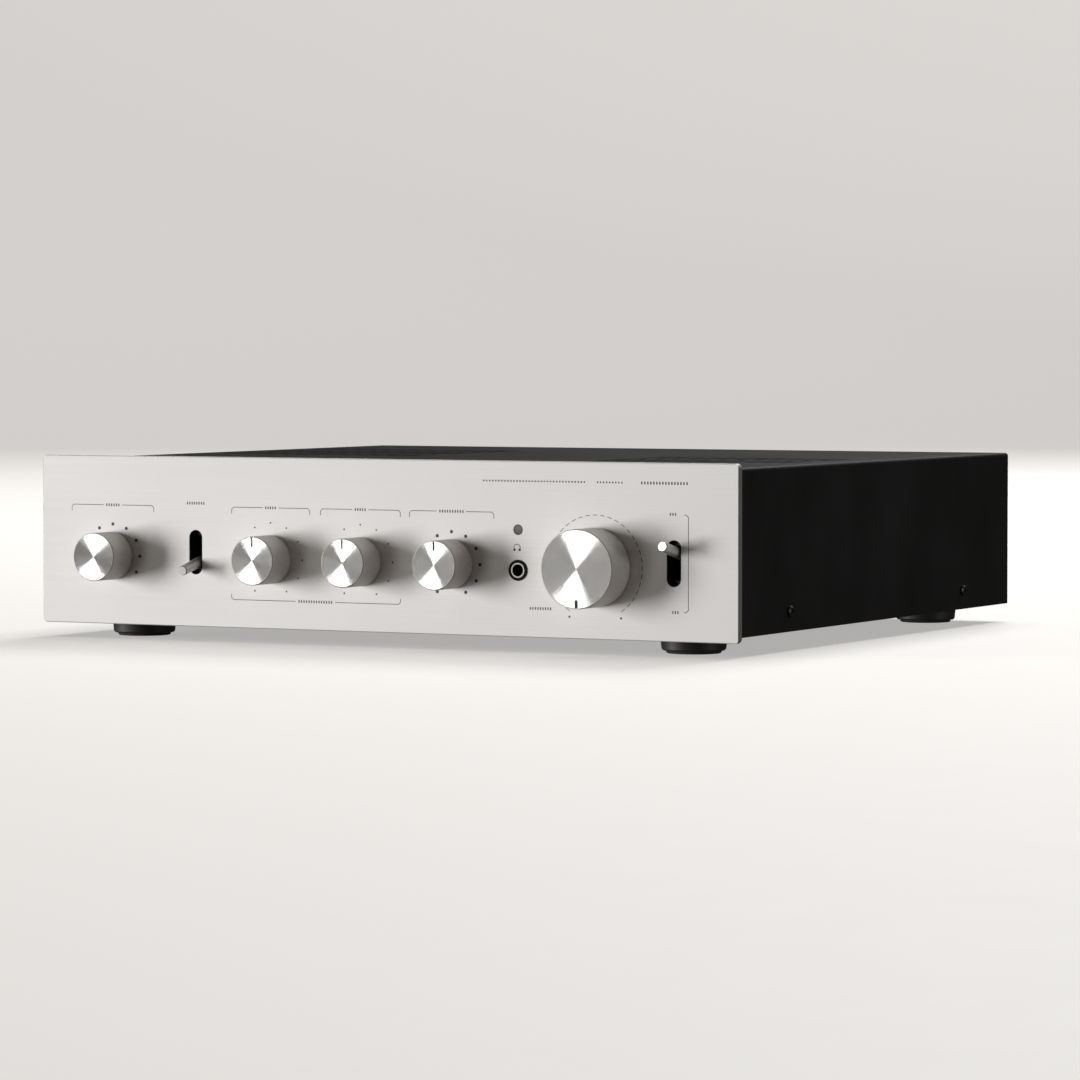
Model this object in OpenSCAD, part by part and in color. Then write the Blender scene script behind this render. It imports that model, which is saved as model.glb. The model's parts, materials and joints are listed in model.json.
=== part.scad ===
// Integrated stereo amplifier. +Z is up, the controls face -Y, and the origin is on the
// resting plane, at the middle of the whole object's footprint.

/* [Front plate] */
// Width of the front plate
fascia_w = 430; // [430:1:440]
// Height of the front plate
fascia_h = 93.6; // [93.6:0.2:95]
// Thickness of the front plate
fascia_t = 4; // [4:0.5:5]
// Corner radius of the front plate
fascia_r = 2.5; // [1:0.5:3]
// Chamfer around the front plate's face
fascia_chamfer = 0.4; // [0.2:0.1:0.8]
// Height of the front plate's lower edge above the resting plane
fascia_lift = 8; // [8:0.5:9]

/* [Case] */
// Depth from the front plate's face to the cover's rear edge
case_d = 380; // [372:1:388]
// Step from the front plate's lower edge up to the case
step_low = 2.5; // [2.5:0.5:4]
// Step from the cover up to the front plate's top edge
step_top = 2.4; // [2:0.2:2.6]
// Step from each end of the front plate in to the cover
step_side = 3; // [3:0.5:4]
// Thickness of the folded case sheet
sheet = 1; // [1:0.1:1.1]
// Thickness of the sub panel behind the front plate
sub_t = 1.5; // [1.5:0.1:1.7]
// Width of one vent slot
vent_w = 4; // [3:0.5:5]
// Length of one vent slot
vent_l = 40; // [30:1:45]

/* [Knobs] */
// Height of the knob axes above the front plate's lower edge
knob_row = 38; // [37:0.5:40]
// Place of the source knob across the plate, from its middle
source_x = -168.8; // [-170:0.2:-166]
// Place of the bass knob
bass_x = -67.1; // [-69:0.1:-66]
// Place of the treble knob
treble_x = -10.8; // [-12:0.2:-9]
// Place of the mode knob
mode_x = 45.3; // [44:0.1:46]
// Place of the volume knob
volume_x = 131.5; // [130:0.5:133]
// Diameter of a small knob
knob_d = 26.6; // [24:0.2:28]
// Distance of a small knob's face in front of the plate
knob_reach = 20; // [18:0.5:22]
// Diameter of the volume knob
volume_d = 42; // [38:0.5:44]
// Distance of the volume knob's face in front of the plate
volume_reach = 22; // [20:0.5:22]
// Gap between a knob's back and the plate
knob_gap = 1; // [1:0.1:1.5]
// Diameter of a control shaft
shaft_d = 6; // [6]

/* [Levers] */
// Height of the lever slots' centres above the front plate's lower edge
lever_row = 41; // [40:0.5:42]
// Place of the tone lever
tone_x = -114.9; // [-116:0.1:-114]
// Place of the power lever
power_x = 177.6; // [176:0.2:179]
// Width of a lever slot
slot_w = 8.4; // [8:0.1:9]
// Length of a lever slot
slot_l = 24.6; // [24:0.2:26]
// Diameter of a lever at its pivot
lever_d = 6.6; // [6.2:0.2:7]
// Diameter of a lever at its tip
lever_tip_d = 5.4; // [5:0.2:6]
// Distance of a lever's pivot behind the plate's face
pivot_depth = 28; // [28]
// Distance of a lever's tip in front of the plate's face
lever_reach = 14; // [12:0.5:16]
// Angle of a lever above or below level
lever_tilt = 12.9; // [12:0.1:13]

/* [Headphone socket and remote window] */
// Place of the socket and the window across the plate
socket_x = 85.6; // [84:0.2:87]
// Height of the socket above the plate's lower edge
socket_row = 35.5; // [35:0.5:38]
// Height of the window above the plate's lower edge
window_row = 57.1; // [56:0.1:58]
// Diameter of the socket's bore, for a 6.35 mm plug
socket_bore = 6.5; // [6.4:0.05:6.6]
// Diameter of the window
window_d = 5.6; // [5:0.2:6]

/* [Feet] */
// Diameter of a foot
foot_d = 36; // [34:0.5:37]
// Distance of each foot's centre in from the end of the front plate
foot_inset = 43.5; // [43:0.5:46]
// Distance of the front feet behind the plate's face
foot_front = 37; // [36:1:44]
// Distance of the rear feet behind the plate's face
foot_rear = 352; // [340:1:354]

/* [Hidden] */
$fn = 64;
eps = 0.1;

// Levels, front to back
face_y = -case_d / 2;
plate_y = face_y + fascia_t;
inner_y = plate_y + sub_t;
rear_y = case_d / 2;
lip_y = rear_y - sheet;
panel_y = lip_y - sheet;
board_y = inner_y + 28;

// Levels, bottom to top
base_z = fascia_lift + step_low;
floor_z = base_z + sheet;
top_z = fascia_lift + fascia_h - step_top;
ceiling_z = top_z - sheet;
frame_top = ceiling_z - 0.2;
knob_z = fascia_lift + knob_row;
lever_z = fascia_lift + lever_row;
socket_z = fascia_lift + socket_row;
window_z = fascia_lift + window_row;

// Half widths of the case
cover_x = fascia_w / 2 - step_side;
frame_x = cover_x - sheet - 0.5;

// Folded flanges
flange = 12;
tray_rim = 20;

// Control hardware
control_x = [source_x, bass_x, treble_x, mode_x, volume_x];
bushing_d = 7;
bushing_reach = 0.5;
plate_hole_d = 14;
nut_flats = 11;
nut_t = 2;
run = 0.05;
loose = 0.1;
pot_w = 17;
volume_pot_w = 27;
rotor_d = 9;
rotor_t = 4;
rotor_depth = 4;
flat_off = 2.2;
shaft_out = 14;
mark_deep = 0.3;

// Lever hardware
pivot_y = face_y + pivot_depth;
barrel_d = 7;
barrel_l = 8;
switch_w = 14;
switch_h = 26;

// Headphone socket hardware
jack_thread_d = 8;
jack_nut_d = 11.2;
jack_nut_t = 0.6;
jack_l = 32;

// M3 and M4 fasteners
m3 = 3;
m3_hole = 3.2;
m3_tap = 3.1;
m3_head = 6;
m3_head_t = 2;
m4 = 4;
m4_tap = 4.1;
m4_head = 8;
m4_head_t = 2.5;

// Feet
foot_xs = [-1, 1] * (fascia_w / 2 - foot_inset);
foot_ys = [face_y + foot_front, face_y + foot_rear];
pad_rise = 1.5;
pad_t = 3.5;
pad_d = foot_d - 6.4;

// Fastener places
fascia_screw_xs = [-190, 18, 196];
fascia_screw_zs = [fascia_lift + 12, fascia_lift + 84];
frame_screw_xs = [-150, 0, 150];
cover_screw_ys = [-120, 120];
cover_screw_z = floor_z + 10;
lip_screw_xs = [-150, 0, 150];
lip_low = 84;
lip_screw_z = 91;

// Transformer
core_x = 130;
core_y = -35;
core_d = 125;
core_hole = 40;
core_h = 50;
core_pad = 1.5;
dish_d = 56;
dish_t = 3;
bolt_d = 8;

// Main board and heat sink
board_x0 = -159;
board_x1 = 55;
board_y0 = -60;
board_y1 = 150;
board_t = 1.6;
spacer_h = 10;
board_z = floor_z + spacer_h;
spacer_xs = [board_x0 + 8, (board_x0 + board_x1) / 2, board_x1 - 8];
spacer_ys = [board_y0 + 8, board_y1 - 8];
sink_x = -165;
sink_t = 6;
sink_fin = 30;
sink_h = 70;
sink_pitch = 10;
sink_y1 = board_y1 - 12;
transistor_ys = [-20, 20, 70, 110];
transistor_z = 44;
can_d = 35;
can_h = 45;
can_places = [[-40, 0], [-40, 45], [5, 0], [5, 45]];
relay_places = [[-110, 120], [-70, 120], [-30, 120]];

// Rear panel
phono_xs = [for (i = [0:5]) -178 + 24 * i];
phono_zs = [46, 68];
phono_body_d = 9.8;
phono_barrel_d = 8.3;
phono_collar_d = 12;
phono_out = 10.5;
input_board_y = panel_y - 15;
post_xs = [4, 26, 62, 84];
post_z = 50;
post_stud_d = 8;
post_cap_d = 17;
post_out = 22;
earth_x = -196;
earth_z = 78;
inlet_x = 168;
inlet_z = 52;

// ---- Shared shapes ----

// Rectangle with round corners, centred
module rounded_rect(w, h, r) {
    square([w - 2 * r, h], center = true);
    square([w, h - 2 * r], center = true);
    for (x = [-1, 1] * (w / 2 - r), y = [-1, 1] * (h / 2 - r))
        translate([x, y]) circle(r);
}

// Slot with round ends, upright and centred
module slot_2d(w, l) {
    square([w, l - w], center = true);
    for (y = [-1, 1] * (l - w) / 2) translate([0, y]) circle(d = w);
}

// Section of the folded cover: square feet and round shoulders
module cover_section(half_w, z0, z1, r) {
    translate([-half_w, z0]) square([2 * half_w, z1 - z0 - r]);
    translate([r - half_w, z0]) square([2 * (half_w - r), z1 - z0]);
    for (x = [-1, 1] * (half_w - r)) translate([x, z1 - r]) circle(r);
}

// A place on the front: +Z of the child points out of the plate
module on_front(x, y, z) {
    translate([x, y, z]) rotate([90, 0, 0]) children();
}

// A place on the rear: +Z of the child points out of the rear panel
module on_rear(x, y, z) {
    translate([x, y, z]) rotate([-90, 0, 0]) children();
}

// Pan head screw: the head's underside is at z = 0 and the shank runs down
module pan_screw(shank_d, shank_l, head_d, head_t) {
    difference() {
        union() {
            translate([0, 0, -shank_l]) cylinder(d = shank_d, h = shank_l + eps);
            cylinder(d = head_d, h = head_t * 0.6);
            translate([0, 0, head_t * 0.6]) cylinder(d1 = head_d, d2 = head_d * 0.7, h = head_t * 0.4);
        }
        for (turn = [0, 90]) rotate([0, 0, turn])
            translate([-head_d * 0.28, -head_d * 0.06, head_t / 2])
                cube([head_d * 0.56, head_d * 0.12, head_t]);
    }
}

module m3_screw(l) pan_screw(m3, l, m3_head, m3_head_t);

// ---- Case ----

// Outline of the front plate with its face chamfered on all four sides
module plate_blank() {
    c = fascia_chamfer;
    w = fascia_w / 2;
    z0 = fascia_lift;
    z1 = fascia_lift + fascia_h;
    intersection() {
        on_front(0, plate_y, (z0 + z1) / 2)
            linear_extrude(fascia_t) rounded_rect(fascia_w, fascia_h, fascia_r);
        translate([0, 0, z0 - 1]) linear_extrude(fascia_h + 2)
            polygon([[-w, plate_y], [-w, face_y + c], [c - w, face_y],
                     [w - c, face_y], [w, face_y + c], [w, plate_y]]);
        rotate([90, 0, 90]) translate([0, 0, -w]) linear_extrude(fascia_w)
            polygon([[plate_y, z0], [face_y + c, z0], [face_y, z0 + c],
                     [face_y, z1 - c], [face_y + c, z1], [plate_y, z1]]);
    }
}

module lever_slots(y, depth, spare) {
    for (x = [tone_x, power_x]) on_front(x, y, lever_z)
        translate([0, 0, -eps]) linear_extrude(depth + 2 * eps)
            slot_2d(slot_w + spare, slot_l + spare);
}

module fascia() {
    color("gainsboro") difference() {
        plate_blank();
        for (x = control_x) on_front(x, plate_y + eps, knob_z)
            cylinder(d = plate_hole_d, h = fascia_t + 2 * eps);
        lever_slots(plate_y, fascia_t, 0);
        on_front(socket_x, plate_y + eps, socket_z)
            cylinder(d = jack_thread_d + 2 * loose, h = fascia_t + 2 * eps);
        on_front(socket_x, plate_y + eps, window_z)
            cylinder(d = window_d + loose, h = fascia_t + 2 * eps);
        for (x = fascia_screw_xs, z = fascia_screw_zs) on_front(x, plate_y + eps, z)
            cylinder(d = m3_tap, h = 2.6 + eps);
    }
}

module sub_panel() {
    color("dimgray") difference() {
        union() {
            translate([-frame_x, plate_y, base_z]) cube([2 * frame_x, sub_t, frame_top - base_z]);
            for (z = [floor_z, frame_top - sheet])
                translate([-frame_x, inner_y - eps, z]) cube([2 * frame_x, flange + eps, sheet]);
        }
        for (x = control_x) on_front(x, inner_y + eps, knob_z)
            cylinder(d = bushing_d + 2 * loose, h = sub_t + 2 * eps);
        lever_slots(inner_y, sub_t, 1);
        on_front(socket_x, inner_y + eps, socket_z)
            cylinder(d = jack_thread_d + 2 * loose, h = sub_t + 2 * eps);
        on_front(socket_x, inner_y + eps, window_z)
            cylinder(d = window_d + loose, h = sub_t + 2 * eps);
        for (x = fascia_screw_xs, z = fascia_screw_zs) on_front(x, inner_y + eps, z)
            cylinder(d = m3_hole, h = sub_t + 2 * eps);
        for (x = frame_screw_xs) translate([x, inner_y + flange / 2, floor_z - eps])
            cylinder(d = m3_tap, h = sheet + 2 * eps);
    }
}

module chassis_tray() {
    y0 = inner_y + 0.2;
    y1 = panel_y - 0.2;
    rim_y = [y0 + flange + 2, y1 - flange - 2];
    color([0.1, 0.1, 0.1]) difference() {
        union() {
            translate([-frame_x, y0, base_z]) cube([2 * frame_x, y1 - y0, sheet]);
            for (x = [-frame_x, frame_x - sheet])
                translate([x, rim_y[0], base_z]) cube([sheet, rim_y[1] - rim_y[0], sheet + tray_rim]);
        }
        for (x = frame_screw_xs, y = [inner_y + flange / 2, panel_y - flange / 2])
            translate([x, y, base_z - eps]) cylinder(d = m3_hole, h = sheet + 2 * eps);
        for (x = foot_xs, y = foot_ys) translate([x, y, base_z - eps])
            cylinder(d = m4_tap, h = sheet + 2 * eps);
        translate([core_x, core_y, base_z - eps]) cylinder(d = bolt_d + 0.4, h = sheet + 2 * eps);
        for (side = [-1, 1], y = cover_screw_ys)
            translate([side * (frame_x + eps), y, cover_screw_z]) rotate([0, -90 * side, 0])
                cylinder(d = m3_tap, h = sheet + 2 * eps);
    }
}

module vent_field(x0, x1, y0, y1) {
    pitch = 2.5 * vent_w;
    for (x = [x0 : pitch : x1], y = [y0 : vent_l + 12 : y1])
        translate([x, y, ceiling_z - eps]) linear_extrude(sheet + 2 * eps) slot_2d(vent_w, vent_l);
}

module top_cover() {
    y0 = plate_y + 0.3;
    color([0.08, 0.08, 0.08]) difference() {
        union() {
            difference() {
                on_front(0, rear_y, 0) linear_extrude(rear_y - y0)
                    cover_section(cover_x, base_z, top_z, 2);
                on_front(0, rear_y + 1, 0) linear_extrude(rear_y - y0 + 2)
                    cover_section(cover_x - sheet, base_z - 1, ceiling_z, 1);
            }
            translate([eps - cover_x, lip_y, lip_low])
                cube([2 * (cover_x - eps), sheet, ceiling_z - lip_low + eps]);
        }
        vent_field(-188, -60, -20, 120);
        vent_field(78, 190, -60, 20);
        for (side = [-1, 1], y = cover_screw_ys)
            translate([side * (cover_x + eps), y, cover_screw_z]) rotate([0, -90 * side, 0])
                cylinder(d = m3_hole, h = sheet + 2 * eps);
        for (x = lip_screw_xs) on_rear(x, lip_y - eps, lip_screw_z)
            cylinder(d = m3_hole, h = sheet + 2 * eps);
    }
}

module rear_panel() {
    color([0.1, 0.1, 0.1]) difference() {
        union() {
            translate([-frame_x, panel_y, base_z]) cube([2 * frame_x, sheet, frame_top - base_z]);
            for (z = [floor_z, frame_top - sheet])
                translate([-frame_x, panel_y - flange, z]) cube([2 * frame_x, flange + eps, sheet]);
        }
        for (x = phono_xs, z = phono_zs) on_rear(x, panel_y - eps, z)
            cylinder(d = phono_body_d + 2 * loose, h = sheet + 2 * eps);
        for (x = post_xs) on_rear(x, panel_y - eps, post_z)
            cylinder(d = post_stud_d + 2 * loose, h = sheet + 2 * eps);
        on_rear(earth_x, panel_y - eps, earth_z) cylinder(d = m4_tap, h = sheet + 2 * eps);
        translate([inlet_x - 15.1, panel_y - eps, inlet_z - 16.1])
            cube([30.2, sheet + 2 * eps, 32.2]);
        for (side = [-1, 1]) on_rear(inlet_x + 20 * side, panel_y - eps, inlet_z)
            cylinder(d = m3_tap, h = sheet + 2 * eps);
        for (x = lip_screw_xs) on_rear(x, panel_y - eps, lip_screw_z)
            cylinder(d = m3_tap, h = sheet + 2 * eps);
        for (x = frame_screw_xs) translate([x, panel_y - flange / 2, floor_z - eps])
            cylinder(d = m3_tap, h = sheet + 2 * eps);
    }
}

module cover_screws() {
    color([0.12, 0.12, 0.12]) {
        for (side = [-1, 1], y = cover_screw_ys)
            translate([side * cover_x, y, cover_screw_z]) rotate([0, 90 * side, 0]) m3_screw(5);
        for (x = lip_screw_xs) on_rear(x, rear_y, lip_screw_z) m3_screw(5);
        for (side = [-1, 1]) on_rear(inlet_x + 20 * side, lip_y + 3, inlet_z) m3_screw(7);
    }
}

module frame_screws() {
    color("silver") {
        for (x = fascia_screw_xs, z = fascia_screw_zs) on_rear(x, inner_y, z) m3_screw(sub_t + 2.2);
        for (x = frame_screw_xs, y = [inner_y + flange / 2, panel_y - flange / 2])
            translate([x, y, base_z]) rotate([180, 0, 0]) m3_screw(4);
        for (x = spacer_xs, y = spacer_ys) translate([x, y, board_z + board_t]) m3_screw(6);
        for (y = transistor_ys) translate([sink_x + 5, y, transistor_z + 14])
            rotate([0, 90, 0]) m3_screw(9);
    }
}

// ---- Feet ----

module at_feet() {
    for (x = foot_xs, y = foot_ys) translate([x, y, 0]) children();
}

module foot_cups() {
    r = foot_d / 2;
    color([0.12, 0.12, 0.12]) at_feet() difference() {
        rotate_extrude() polygon([[0, pad_rise], [r - 1.6, pad_rise], [r - 0.8, pad_rise + 0.8],
                                  [r, base_z - 1], [r, base_z], [0, base_z]]);
        translate([0, 0, pad_rise - 1]) cylinder(d = pad_d + 0.2, h = pad_t - pad_rise + 1);
        translate([0, 0, pad_t - eps]) cylinder(d = m4_head + 0.8, h = 3.2);
        cylinder(d = m4 + 0.4, h = base_z + 1);
    }
}

module foot_pads() {
    color([0.2, 0.2, 0.2]) at_feet() rotate_extrude()
        polygon([[6, 0], [pad_d / 2 - 0.6, 0], [pad_d / 2, 0.6], [pad_d / 2, pad_t], [6, pad_t]]);
}

module foot_screws() {
    color("silver") at_feet() translate([0, 0, pad_t + 3.1])
        rotate([180, 0, 0]) pan_screw(m4, base_z + 3 - pad_t - 3.1, m4_head, m4_head_t);
}

// ---- Rotary controls ----

// Turned knob, back at z = 0, with a D bore; a marker groove, if it has a width, runs in from the rim
module knob_body(d, l, mark_w, mark_l, mark_turn) {
    bevel = 0.5;
    r = d / 2;
    difference() {
        rotate_extrude() polygon([[0, 0], [r - bevel, 0], [r, bevel],
                                  [r, l - bevel], [r - bevel, l], [0, l]]);
        translate([0, 0, -eps]) linear_extrude(shaft_out - knob_gap + 0.5 + eps) d_section(run);
        if (mark_w > 0) rotate([0, 0, mark_turn])
            translate([-mark_w / 2, r - mark_l, l - mark_deep]) cube([mark_w, mark_l + 1, 1]);
    }
}

// D section of a shaft's end, grown by a clearance
module d_section(gap) {
    intersection() {
        circle(d = shaft_d + 2 * gap);
        translate([-shaft_d, -shaft_d]) square([2 * shaft_d, shaft_d + flat_off + gap]);
    }
}

module small_knob(x, mark_w) {
    color("silver") on_front(x, face_y - knob_gap, knob_z)
        knob_body(knob_d, knob_reach - knob_gap, mark_w, 5.7, 0);
}

// Shaft with its rotor inside the control's body, at rest pointing as the knob does
module control_shaft(x) {
    inside = fascia_t + sub_t + rotor_depth;
    color("lightgray") on_front(x, face_y, knob_z) {
        translate([0, 0, -inside]) cylinder(d = shaft_d, h = inside + bushing_reach);
        translate([0, 0, -inside]) cylinder(d = rotor_d, h = rotor_t - 2 * run);
        translate([0, 0, bushing_reach - eps])
            linear_extrude(shaft_out - bushing_reach + eps) d_section(0);
    }
}

// Body of a control, with the threaded bushing that goes through the sub panel
module control_body(x, w, tint) {
    depth = board_y - inner_y;
    bushing_l = fascia_t + sub_t + bushing_reach;
    color(tint) on_front(x, inner_y, knob_z) difference() {
        union() {
            translate([-w / 2, -w / 2, -depth]) cube([w, w, depth]);
            cylinder(d = bushing_d, h = bushing_l);
        }
        translate([0, 0, -rotor_depth - run]) cylinder(d = shaft_d + 2 * run, h = bushing_l + 20);
        translate([0, 0, -rotor_depth - run]) cylinder(d = rotor_d + 2 * run, h = rotor_t);
    }
}

module source_knob() small_knob(source_x, 0);
module source_shaft() control_shaft(source_x);
module source_switch() control_body(source_x, pot_w, "darkolivegreen");
module bass_knob() small_knob(bass_x, 1);
module bass_shaft() control_shaft(bass_x);
module bass_pot() control_body(bass_x, pot_w, "seagreen");
module treble_knob() small_knob(treble_x, 1);
module treble_shaft() control_shaft(treble_x);
module treble_pot() control_body(treble_x, pot_w, "seagreen");
module mode_knob() small_knob(mode_x, 1);
module mode_shaft() control_shaft(mode_x);
module mode_switch() control_body(mode_x, pot_w, "darkolivegreen");

module volume_knob() {
    color("silver") on_front(volume_x, face_y - knob_gap, knob_z)
        knob_body(volume_d, volume_reach - knob_gap, 1.8, 4.8, 180);
}

module volume_shaft() control_shaft(volume_x);
module volume_pot() control_body(volume_x, volume_pot_w, "steelblue");

// Gearbox and motor that turn the volume control from the remote handset
module volume_motor() {
    color("slategray") on_rear(volume_x, board_y, knob_z) {
        translate([-12, -12, 0]) cube([24, 24, 12]);
        translate([0, 0, 12 - eps]) cylinder(d = 20, h = 24);
    }
}

module control_nuts() {
    color("lightgray") for (x = control_x) on_front(x, plate_y, knob_z) difference() {
        cylinder(d = nut_flats / cos(30), h = nut_t, $fn = 6);
        translate([0, 0, -eps]) cylinder(d = bushing_d + 0.1, h = nut_t + 2 * eps);
    }
}

module control_board() {
    x0 = source_x - 22;
    x1 = socket_x + 26;
    color("darkgreen") difference() {
        translate([x0, board_y, 20]) cube([x1 - x0, board_t, 58]);
        translate([socket_x - 10, board_y - 1, 10]) cube([20, board_t + 2, socket_z + 10 - 10]);
    }
}

// ---- Levers ----

// Rod on a cross barrel that turns in its switch
module lever(x, tilt) {
    l = (pivot_depth + lever_reach) / cos(lever_tilt);
    color("silver") translate([x, pivot_y, lever_z]) rotate([tilt, 0, 0]) {
        rotate([90, 0, 0]) cylinder(d1 = lever_d, d2 = lever_tip_d, h = l - 0.4);
        translate([0, 0.4 - l, 0]) rotate([90, 0, 0])
            cylinder(d1 = lever_tip_d, d2 = lever_tip_d - 0.8, h = 0.4);
        rotate([0, 90, 0]) cylinder(d = barrel_d, h = barrel_l, center = true);
    }
}

module lever_switch(x) {
    front = pivot_y - inner_y;
    mouth = lever_d / 2 + 0.5;
    flare = mouth + front * tan(lever_tilt + 0.6);
    color([0.15, 0.15, 0.17]) difference() {
        translate([x - switch_w / 2, inner_y, lever_z - switch_h / 2])
            cube([switch_w, board_y - inner_y, switch_h]);
        translate([x, pivot_y, lever_z]) {
            rotate([0, 90, 0]) cylinder(d = barrel_d + 2 * run, h = barrel_l + 0.2, center = true);
            rotate([90, 0, 90]) translate([0, 0, -lever_d / 2 - 0.3])
                linear_extrude(lever_d + 0.6)
                    polygon([[0, -mouth], [0, mouth], [-front, flare], [-front - 1, flare],
                             [-front - 1, -flare], [-front, -flare]]);
        }
    }
}

module tone_lever() lever(tone_x, lever_tilt);
module tone_switch() lever_switch(tone_x);
module power_lever() lever(power_x, -lever_tilt);
module power_switch() lever_switch(power_x);

// ---- Headphone socket and remote window ----

module ir_window() {
    color([0.35, 0.35, 0.4]) on_front(socket_x, inner_y, window_z) {
        translate([0, 0, -1.2]) cylinder(d = 9, h = 1.2);
        translate([0, 0, -7]) cylinder(d = window_d, h = 7 + sub_t + fascia_t - 0.2);
    }
}

module headphone_jack() {
    color("goldenrod") on_front(socket_x, inner_y, socket_z) difference() {
        union() {
            translate([-8, -8, -jack_l]) cube([16, 16, jack_l]);
            cylinder(d = jack_thread_d, h = sub_t + fascia_t + jack_nut_t - 0.1);
        }
        translate([0, 0, -jack_l + 3]) cylinder(d = socket_bore, h = jack_l + 20);
    }
}

module jack_nut() {
    color([0.08, 0.08, 0.08]) on_front(socket_x, face_y, socket_z) difference() {
        rotate_extrude() polygon([[jack_thread_d / 2 + 0.05, 0], [jack_nut_d / 2, 0],
                                  [jack_nut_d / 2, jack_nut_t - 0.3],
                                  [jack_nut_d / 2 - 0.3, jack_nut_t],
                                  [jack_thread_d / 2 + 0.05, jack_nut_t]]);
        for (turn = [0, 90]) rotate([0, 0, turn])
            translate([-jack_nut_d, -0.4, jack_nut_t / 2]) cube([2 * jack_nut_d, 0.8, 1]);
    }
}

// ---- Power supply ----

module at_core(z) {
    translate([core_x, core_y, z]) children();
}

module ring(outer, inner, h) {
    difference() {
        cylinder(d = outer, h = h);
        translate([0, 0, -eps]) cylinder(d = inner, h = h + 2 * eps);
    }
}

module transformer() {
    w = (core_d - core_hole) / 2;
    color("gold") at_core(floor_z + core_pad) rotate_extrude()
        translate([(core_d + core_hole) / 4, core_h / 2]) rounded_rect(w, core_h, 9);
}

module transformer_pads() {
    color([0.15, 0.15, 0.15]) {
        at_core(floor_z) ring(core_d - 8, core_hole, core_pad);
        at_core(floor_z + core_pad + core_h) ring(core_d - 22, core_hole, core_pad);
    }
}

module transformer_dish() {
    color("silver") at_core(floor_z + core_h + 2 * core_pad) ring(dish_d, bolt_d + 0.4, dish_t);
}

module transformer_bolt() {
    top = floor_z + core_h + 2 * core_pad + dish_t;
    color("silver") {
        at_core(base_z - 3) {
            cylinder(d = 14, h = 3, $fn = 6);
            cylinder(d = bolt_d, h = top + 10 - base_z + 3);
        }
        at_core(top) difference() {
            cylinder(d = 14, h = 6, $fn = 6);
            translate([0, 0, -eps]) cylinder(d = bolt_d + 0.1, h = 7);
        }
    }
}

// ---- Main board ----

module main_board() {
    color("darkgreen") difference() {
        translate([board_x0, board_y0, board_z])
            cube([board_x1 - board_x0, board_y1 - board_y0, board_t]);
        for (x = spacer_xs, y = spacer_ys) translate([x, y, board_z - eps])
            cylinder(d = m3_hole, h = board_t + 2 * eps);
    }
}

module standoffs() {
    color("silver") for (x = spacer_xs, y = spacer_ys) translate([x, y, floor_z])
        ring(6.5, m3_tap, spacer_h);
}

// Extruded heat sink: an upright base plate with fins on its outer side
module heat_sink() {
    fins = floor((sink_y1 - board_y0) / sink_pitch);
    color([0.15, 0.15, 0.15]) difference() {
        translate([0, 0, floor_z]) linear_extrude(sink_h) {
            translate([sink_x - sink_t, board_y0]) square([sink_t, sink_y1 - board_y0]);
            for (i = [0 : fins]) translate([sink_x - sink_t - sink_fin, board_y0 + i * sink_pitch])
                square([sink_fin + eps, 2]);
        }
        for (y = transistor_ys) translate([sink_x + eps, y, transistor_z + 14])
            rotate([0, -90, 0]) cylinder(d = m3_tap, h = 5);
    }
}

module output_transistors() {
    color([0.1, 0.1, 0.12]) for (y = transistor_ys) difference() {
        translate([sink_x, y - 8, transistor_z]) cube([5, 16, 20]);
        translate([sink_x - eps, y, transistor_z + 14]) rotate([0, 90, 0])
            cylinder(d = m3_hole, h = 6);
    }
}

module filter_capacitors() {
    color("midnightblue") for (p = can_places) translate([p[0], p[1], board_z + board_t])
        rotate_extrude() polygon([[0, 0], [can_d / 2, 0], [can_d / 2, can_h - 1],
                                  [can_d / 2 - 1, can_h], [0, can_h]]);
}

module relays() {
    color("whitesmoke") for (p = relay_places)
        translate([p[0], p[1], board_z + board_t]) cube([24, 12, 18]);
}

// ---- Rear panel fittings ----

module input_board() {
    color("darkgreen") translate([phono_xs[0] - 12, input_board_y - board_t, 34])
        cube([phono_xs[5] - phono_xs[0] + 24, board_t, 46]);
}

// Phono socket, from the input board out through the rear panel
module input_sockets() {
    reach = panel_y + sheet + 1.5 - input_board_y;
    color("gold") for (x = phono_xs, z = phono_zs) on_rear(x, input_board_y, z) {
        difference() {
            union() {
                cylinder(d = phono_body_d, h = reach - 1.6);
                cylinder(d = phono_barrel_d, h = reach + phono_out - 1.5);
            }
            translate([0, 0, reach]) cylinder(d = phono_barrel_d - 1.2, h = phono_out);
        }
        translate([0, 0, reach - 1]) ring(4.6, 3.3, phono_out - 1);
    }
}

module socket_collars() {
    for (z = phono_zs) color(z == phono_zs[1] ? "white" : "red")
        for (x = phono_xs) on_rear(x, lip_y, z) ring(phono_collar_d, phono_barrel_d + 0.1, 1.5);
}

// Binding post: a stud with a plug bore, and the nut that holds it inside the panel
module speaker_posts() {
    color("gold") for (x = post_xs) on_rear(x, lip_y, post_z) {
        difference() {
            translate([0, 0, -10]) cylinder(d = post_stud_d, h = 10 + post_out - 4);
            translate([0, 0, 4]) cylinder(d = 4.1, h = post_out);
        }
        translate([0, 0, -sheet - 5]) difference() {
            cylinder(d = 15, h = 4, $fn = 6);
            translate([0, 0, -eps]) cylinder(d = post_stud_d + 0.1, h = 5);
        }
    }
}

module post_collars() {
    color([0.1, 0.1, 0.1]) for (x = post_xs) on_rear(x, lip_y, post_z)
        ring(19, post_stud_d + 0.1, 5);
}

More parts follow.
